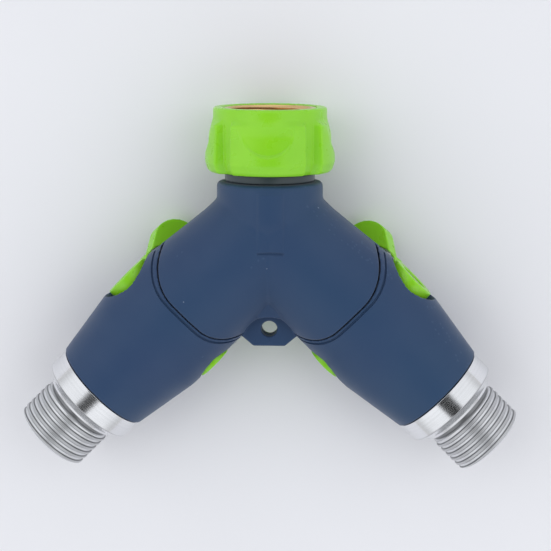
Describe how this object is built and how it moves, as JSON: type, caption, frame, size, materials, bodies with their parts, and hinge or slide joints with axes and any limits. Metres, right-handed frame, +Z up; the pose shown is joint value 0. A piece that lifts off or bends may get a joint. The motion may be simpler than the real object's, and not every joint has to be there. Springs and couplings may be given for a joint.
{
  "type": "hose splitter",
  "caption": "Y-shaped garden hose splitter with a swivel inlet, a lever ball valve on each leg, threaded outlets and a hanging lug.",
  "frame": {"origin": "centre of the bounding box's bottom face", "axes": "+Y towards the inlet's mouth, +X across the two outlets, +Z up and away from the levers, on the side where the yoke is one smooth piece"},
  "size_m": [0.1668, 0.1218, 0.0432],
  "materials": {
    "back_cover": "soft-touch, satin",
    "cover_screw_lower_left": "stainless",
    "cover_screw_lower_right": "stainless",
    "cover_screw_upper_left": "stainless",
    "cover_screw_upper_right": "stainless",
    "filter_screen": "stainless",
    "front_cover": "soft-touch, satin",
    "inlet_swivel_nut": "turned",
    "inlet_washer": "matte",
    "left_ball": "polished",
    "left_inlet_seat": "PTFE, white",
    "left_leg_sleeve": "soft-touch, satin",
    "left_lever": "moulded, glossy",
    "left_outlet_seat": "PTFE, white",
    "left_outlet_tailpiece": "turned, polished",
    "left_pivot_screw": "stainless",
    "left_stem_o_ring": "matte",
    "left_stem_screw": "stainless",
    "left_tailpiece_o_ring": "matte",
    "left_valve_stem": "stainless",
    "manifold": "cast",
    "right_ball": "polished",
    "right_inlet_seat": "PTFE, white",
    "right_leg_sleeve": "soft-touch, satin",
    "right_lever": "moulded, glossy",
    "right_outlet_seat": "PTFE, white",
    "right_outlet_tailpiece": "turned, polished",
    "right_pivot_screw": "stainless",
    "right_stem_o_ring": "matte",
    "right_stem_screw": "stainless",
    "right_tailpiece_o_ring": "matte",
    "right_valve_stem": "stainless",
    "swivel_collar": "moulded",
    "swivel_grip": "moulded, glossy",
    "swivel_o_ring": "matte",
    "swivel_retaining_ring": "stainless"
  },
  "bodies": {
    "splitter_body": {"back_cover": "back_cover", "cover_screw_lower_left": "cover_screw_lower_left", "cover_screw_lower_right": "cover_screw_lower_right", "cover_screw_upper_left": "cover_screw_upper_left", "cover_screw_upper_right": "cover_screw_upper_right", "front_cover": "front_cover", "left_inlet_seat": "left_inlet_seat", "left_leg_sleeve": "left_leg_sleeve", "left_outlet_seat": "left_outlet_seat", "left_outlet_tailpiece": "left_outlet_tailpiece", "left_pivot_screw": "left_pivot_screw", "left_stem_o_ring": "left_stem_o_ring", "left_tailpiece_o_ring": "left_tailpiece_o_ring", "manifold": "manifold", "right_inlet_seat": "right_inlet_seat", "right_leg_sleeve": "right_leg_sleeve", "right_outlet_seat": "right_outlet_seat", "right_outlet_tailpiece": "right_outlet_tailpiece", "right_pivot_screw": "right_pivot_screw", "right_stem_o_ring": "right_stem_o_ring", "right_tailpiece_o_ring": "right_tailpiece_o_ring", "swivel_collar": "swivel_collar", "swivel_o_ring": "swivel_o_ring", "swivel_retaining_ring": "swivel_retaining_ring"},
    "inlet_swivel": {"inlet_swivel_nut": "inlet_swivel_nut", "swivel_grip": "swivel_grip", "inlet_washer": "inlet_washer", "filter_screen": "filter_screen"},
    "left_handle": {"left_lever": "left_lever", "left_valve_stem": "left_valve_stem", "left_ball": "left_ball", "left_stem_screw": "left_stem_screw"},
    "right_handle": {"right_lever": "right_lever", "right_valve_stem": "right_valve_stem", "right_ball": "right_ball", "right_stem_screw": "right_stem_screw"}
  },
  "joints": [
    {"name": "inlet_swivel_spin", "type": "hinge", "parent": "splitter_body", "child": "inlet_swivel", "pos_m": [0, 0.04257, 0.0218], "axis": [0, 1, 0], "continuous": true},
    {"name": "left_lever_turn", "type": "hinge", "parent": "splitter_body", "child": "left_handle", "pos_m": [-0.03359, -0.01102, 0.0218], "axis": [-0.7071, 0.7071, 0], "range_deg": [0, 90]},
    {"name": "right_lever_turn", "type": "hinge", "parent": "splitter_body", "child": "right_handle", "pos_m": [0.03359, -0.01102, 0.0218], "axis": [-0.7071, -0.7071, 0], "range_deg": [0, 90]}
  ]
}
